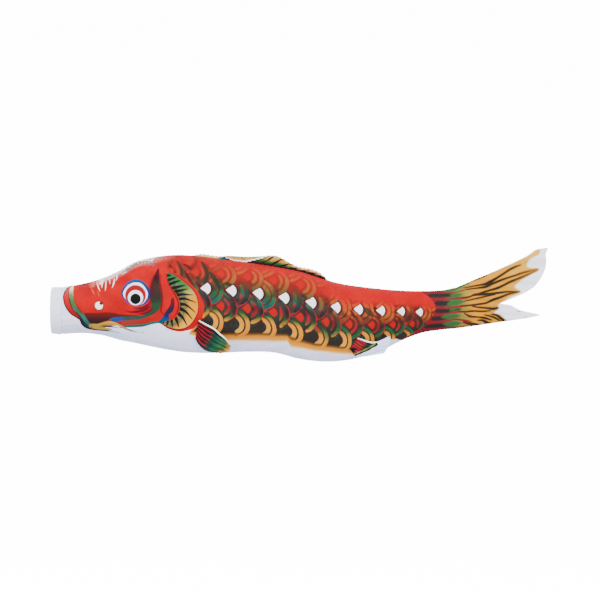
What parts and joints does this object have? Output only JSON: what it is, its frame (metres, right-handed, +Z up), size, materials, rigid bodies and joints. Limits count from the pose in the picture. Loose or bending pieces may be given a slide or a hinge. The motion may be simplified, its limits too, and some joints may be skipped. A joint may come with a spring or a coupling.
{
  "type": "carp streamer",
  "caption": "Open tube of printed cloth shaped like a carp, held open by a hoop at the mouth, with sewn fins and a forked open tail that swims in the wind.",
  "frame": {"origin": "centre of the mouth opening, in the plane of the hem's front edge", "axes": "+X from the mouth towards the tail, +Z up towards the back, -Y towards the fish's own left side"},
  "size_m": [0.994, 0.1252, 0.228],
  "materials": {
    "body_print": "plain-woven polyester printed in red, green, dark maroon and gold on white",
    "tail_print": "the same cloth printed gold with dark streaks, fading to white",
    "fin_print": "the same cloth, doubled, printed red, green and gold with dark rays",
    "collar_cloth": "plain white woven cloth, hemmed",
    "hoop_steel": "bare spring wire",
    "sleeve_steel": "crimped tube",
    "eyelet_enamel": "white enamel"
  },
  "bodies": {
    "head": {"mouth_hoop": "hoop_steel", "hoop_sleeve": "sleeve_steel", "mouth_collar": "collar_cloth", "eyelet_left": "eyelet_enamel", "eyelet_right": "eyelet_enamel", "eyelet_bottom": "eyelet_enamel", "head_panel_left": "body_print", "head_panel_right": "body_print", "shoulder_bend_left": "body_print", "shoulder_bend_right": "body_print"},
    "front_body": {"front_body_panel_left": "body_print", "front_body_panel_right": "body_print", "waist_bend_left": "body_print", "waist_bend_right": "body_print"},
    "rear_body": {"rear_body_panel_left": "body_print", "rear_body_panel_right": "body_print", "stalk_bend_left": "body_print", "stalk_bend_right": "body_print"},
    "tail_stalk": {"tail_stalk_panel_left": "body_print", "tail_stalk_panel_right": "body_print", "tail_bend_left": "body_print", "tail_bend_right": "body_print"},
    "tail": {"tail_panel_left": "tail_print", "tail_panel_right": "tail_print"},
    "dorsal": {"dorsal_fin": "fin_print"},
    "pectoral_left": {"pectoral_fin_left": "fin_print"},
    "pectoral_right": {"pectoral_fin_right": "fin_print"},
    "pelvic_left": {"pelvic_fin_left": "fin_print"},
    "pelvic_right": {"pelvic_fin_right": "fin_print"}
  },
  "joints": [
    {"name": "shoulder_sway", "type": "hinge", "parent": "head", "child": "front_body", "pos_m": [0.265, 0, 0.014], "axis": [0, 0, 1], "range_deg": [-15, 15], "deforming": ["shoulder_bend_left", "shoulder_bend_right"]},
    {"name": "waist_sway", "type": "hinge", "parent": "front_body", "child": "rear_body", "pos_m": [0.572, 0, -0.024], "axis": [0, 0, 1], "range_deg": [-18, 18], "deforming": ["waist_bend_left", "waist_bend_right"]},
    {"name": "stalk_sway", "type": "hinge", "parent": "rear_body", "child": "tail_stalk", "pos_m": [0.712, 0, -0.008], "axis": [0, 0, 1], "range_deg": [-20, 20], "deforming": ["stalk_bend_left", "stalk_bend_right"]},
    {"name": "tail_lift", "type": "hinge", "parent": "tail_stalk", "child": "tail", "pos_m": [0.8, 0, 0.0035], "axis": [0, -1, 0], "range_deg": [-20, 20], "deforming": ["tail_bend_left", "tail_bend_right"]},
    {"name": "dorsal_flop", "type": "hinge", "parent": "front_body", "child": "dorsal", "pos_m": [0.44, 0, 0.0895], "axis": [0.984, 0, -0.178], "range_deg": [-75, 75]},
    {"name": "pectoral_left_swing", "type": "hinge", "parent": "front_body", "child": "pectoral_left", "pos_m": [0.297, -0.0609, -0.019], "axis": [-0.203, 0.3527, -0.9135], "range_deg": [-8, 75]},
    {"name": "pectoral_right_swing", "type": "hinge", "parent": "front_body", "child": "pectoral_right", "pos_m": [0.297, 0.0609, -0.019], "axis": [0.203, 0.3527, 0.9135], "range_deg": [-8, 75]},
    {"name": "pelvic_left_swing", "type": "hinge", "parent": "rear_body", "child": "pelvic_left", "pos_m": [0.612, -0.0449, -0.054], "axis": [-0.5665, 0.2691, -0.7789], "range_deg": [-8, 75]},
    {"name": "pelvic_right_swing", "type": "hinge", "parent": "rear_body", "child": "pelvic_right", "pos_m": [0.612, 0.0449, -0.054], "axis": [0.5665, 0.2691, 0.7789], "range_deg": [-8, 75]}
  ]
}
